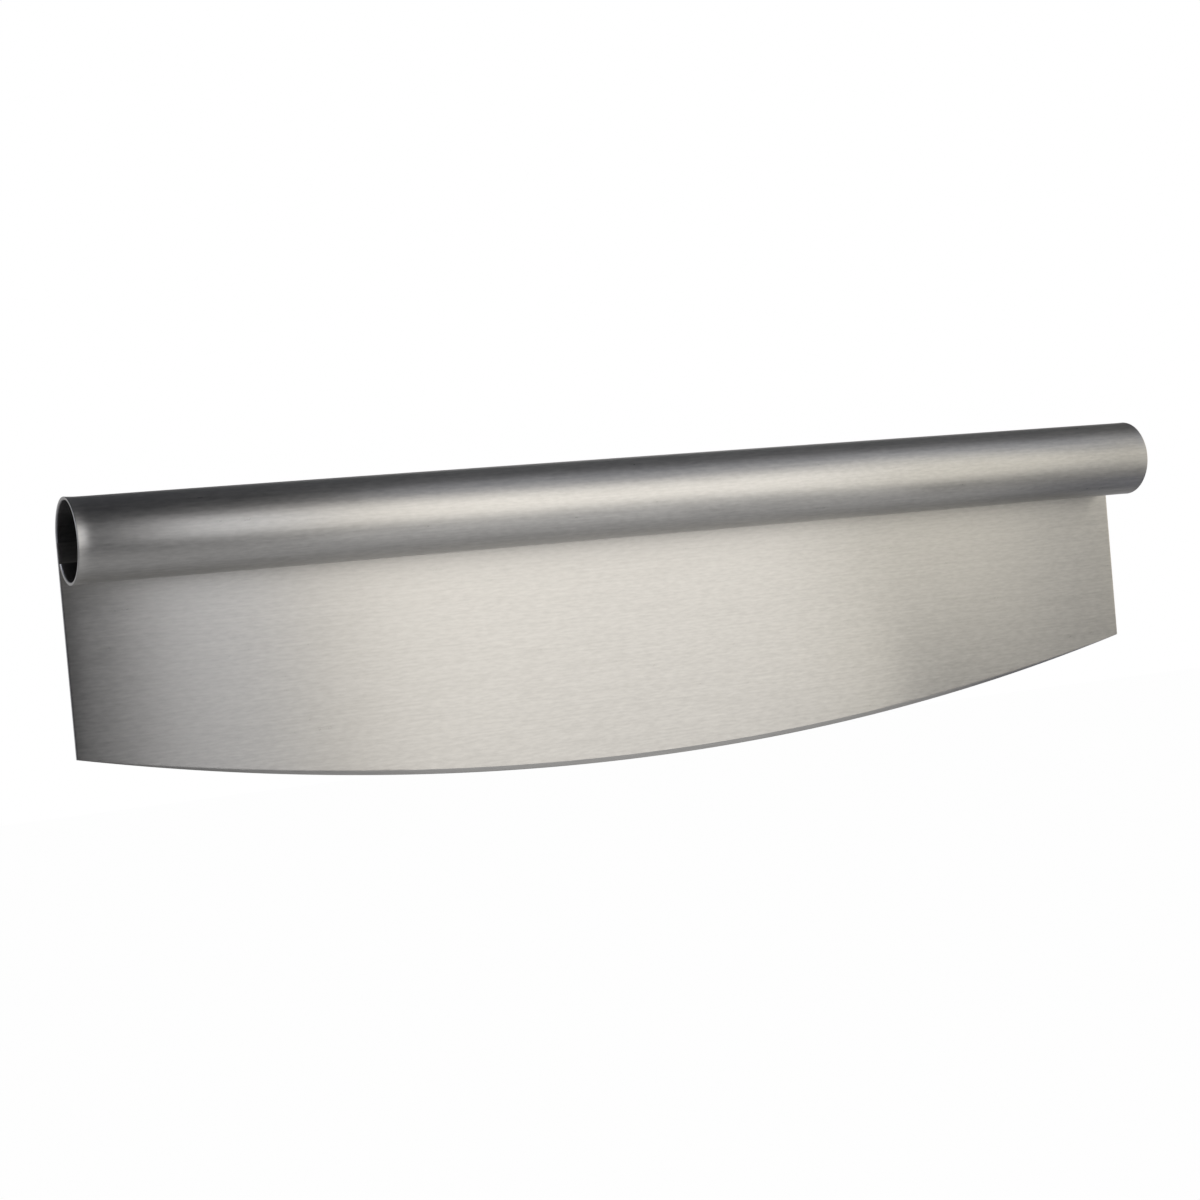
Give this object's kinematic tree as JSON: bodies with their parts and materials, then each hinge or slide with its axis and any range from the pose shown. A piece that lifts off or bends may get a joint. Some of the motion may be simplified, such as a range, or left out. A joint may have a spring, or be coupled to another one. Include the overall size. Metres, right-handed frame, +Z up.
{
  "type": "rocking pizza knife",
  "caption": "Steel rocking knife with a rolled tubular handle, open at its ends, over a flat blade with a bowed, ground cutting edge.",
  "frame": {"origin": "on the axis of the rolled handle, at the middle of its length", "axes": "+X along the handle, +Y out of the flat back, +Z up from the cutting edge to the handle"},
  "size_m": [0.356, 0.0238, 0.0909],
  "materials": {
    "blade_steel": "satin, fine brush strokes along the blade, with a ground bevel at the edge",
    "handle_steel": "satin, fine brush strokes along the handle, with bare rims"
  },
  "bodies": {
    "root": {"blade": "blade_steel", "rolled_handle": "handle_steel"}
  },
  "joints": []
}
